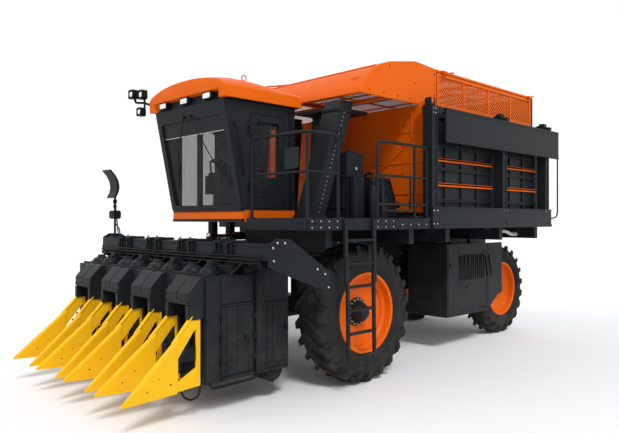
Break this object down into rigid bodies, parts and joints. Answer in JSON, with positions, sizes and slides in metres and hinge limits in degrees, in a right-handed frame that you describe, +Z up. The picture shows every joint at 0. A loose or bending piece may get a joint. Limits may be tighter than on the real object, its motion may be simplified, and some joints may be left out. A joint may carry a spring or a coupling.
{
  "type": "cotton picker machine",
  "caption": "Self-propelled cotton picker: yellow-pointed row header, cab, air ducts and an orange side-tipping basket on large driven front and steered rear wheels.",
  "frame": {"origin": "on the ground, midway between the divider tips and the back of the rear tyres, on the centre line", "axes": "-Y forward, +X to the machine's left, +Z up"},
  "size_m": [3.94, 8.42, 4.265],
  "materials": {
    "orange_paint": "gloss",
    "dark_paint": "satin",
    "yellow_paint": "gloss",
    "tyre": "matte",
    "tinted_glass": "clear",
    "seat_fabric": "woven",
    "chromed_steel": "polished"
  },
  "bodies": {
    "chassis": {"cab_floor": "orange_paint", "cab_frame": "dark_paint", "cab_roof": "orange_paint", "ducts_left": "dark_paint", "ducts_right": "dark_paint", "engine_block": "dark_paint", "fan_housing": "dark_paint", "front_axle": "dark_paint", "handrail_front": "dark_paint", "handrail_rear": "dark_paint", "hydraulic_tank": "dark_paint", "ladder": "dark_paint", "light_bar": "dark_paint", "main_frame": "dark_paint", "mast_frame_left": "dark_paint", "mast_frame_right": "dark_paint", "operator_seat": "dark_paint", "rear_axle": "dark_paint", "seat_cushion": "seat_fabric", "service_deck": "dark_paint", "side_box_left": "dark_paint", "side_box_right": "dark_paint", "side_glass": "tinted_glass", "steering_console": "dark_paint", "windscreen": "tinted_glass"},
    "header": {"divider_1": "yellow_paint", "divider_2": "yellow_paint", "divider_3": "yellow_paint", "divider_4": "yellow_paint", "divider_5": "yellow_paint", "mirror": "dark_paint", "row_unit_1": "dark_paint", "row_unit_2": "dark_paint", "row_unit_3": "dark_paint", "row_unit_4": "dark_paint", "toolbar": "dark_paint"},
    "cylinder_barrel": {"cylinder_barrel": "dark_paint"},
    "cylinder_rod": {"cylinder_rod": "chromed_steel"},
    "cab_door": {"cab_door": "dark_paint", "door_glass": "tinted_glass"},
    "basket": {"basket_floor": "dark_paint", "basket_front_wall": "orange_paint", "basket_hood": "orange_paint", "basket_left_wall": "dark_paint", "basket_rear_wall": "dark_paint", "basket_right_wall": "dark_paint", "basket_roof": "orange_paint"},
    "screen_door": {"screen_door": "orange_paint"},
    "unloading_lip": {"unloading_lip": "dark_paint"},
    "knuckle_left": {"knuckle_left": "dark_paint"},
    "knuckle_right": {"knuckle_right": "dark_paint"},
    "wheel_front_left": {"rim_front_left": "orange_paint", "tyre_front_left": "tyre"},
    "wheel_front_right": {"rim_front_right": "orange_paint", "tyre_front_right": "tyre"},
    "wheel_rear_left": {"rim_rear_left": "orange_paint", "tyre_rear_left": "tyre"},
    "wheel_rear_right": {"rim_rear_right": "orange_paint", "tyre_rear_right": "tyre"}
  },
  "joints": [
    {"name": "header_lift", "type": "hinge", "parent": "chassis", "child": "header", "pos_m": [0, -1.6, 1.3], "axis": [-1, 0, 0], "range_deg": [-5, 10]},
    {"name": "cylinder_foot", "type": "hinge", "parent": "chassis", "child": "cylinder_barrel", "pos_m": [0, -1.25, 1.83], "axis": [-1, 0, 0], "range_deg": [-3.6, 6.8]},
    {"name": "cylinder_stroke", "type": "slide", "parent": "cylinder_barrel", "child": "cylinder_rod", "axis": [0, -1, 0], "range_m": [-0.1, 0.05]},
    {"name": "cab_door_hinge", "type": "hinge", "parent": "chassis", "child": "cab_door", "pos_m": [0.802, -2.19, 2.165], "axis": [0, 0, -1], "range_deg": [0, 75]},
    {"name": "basket_tip", "type": "hinge", "parent": "chassis", "child": "basket", "pos_m": [1.83, 0, 3.665], "axis": [0, 1, 0], "range_deg": [0, 90]},
    {"name": "screen_door_hinge", "type": "hinge", "parent": "basket", "child": "screen_door", "pos_m": [1.603, 0, 4.212], "axis": [0, -1, 0], "range_deg": [0, 80]},
    {"name": "unloading_lip_hinge", "type": "hinge", "parent": "chassis", "child": "unloading_lip", "pos_m": [1.95, 0, 3.625], "axis": [0, -1, 0], "range_deg": [0, 35]},
    {"name": "front_left_spin", "type": "hinge", "parent": "chassis", "child": "wheel_front_left", "pos_m": [1.44, -1, 0.875], "axis": [1, 0, 0], "continuous": true},
    {"name": "front_right_spin", "type": "hinge", "parent": "chassis", "child": "wheel_front_right", "pos_m": [-1.44, -1, 0.875], "axis": [1, 0, 0], "continuous": true},
    {"name": "steer_left", "type": "hinge", "parent": "chassis", "child": "knuckle_left", "pos_m": [0.6, 3.41, 0.8], "axis": [0, 0, 1], "range_deg": [-14, 14]},
    {"name": "steer_right", "type": "hinge", "parent": "chassis", "child": "knuckle_right", "pos_m": [-0.6, 3.41, 0.8], "axis": [0, 0, 1], "range_deg": [-14, 14]},
    {"name": "rear_left_spin", "type": "hinge", "parent": "knuckle_left", "child": "wheel_rear_left", "pos_m": [0.915, 3.41, 0.8], "axis": [1, 0, 0], "continuous": true},
    {"name": "rear_right_spin", "type": "hinge", "parent": "knuckle_right", "child": "wheel_rear_right", "pos_m": [-0.915, 3.41, 0.8], "axis": [1, 0, 0], "continuous": true}
  ],
  "couplings": [
    {"joint": "cylinder_foot", "follows": "header_lift", "ratio": 0.6407},
    {"joint": "cylinder_stroke", "follows": "header_lift", "m_per_rad": -0.5417},
    {"joint": "steer_right", "follows": "steer_left", "ratio": 1}
  ]
}
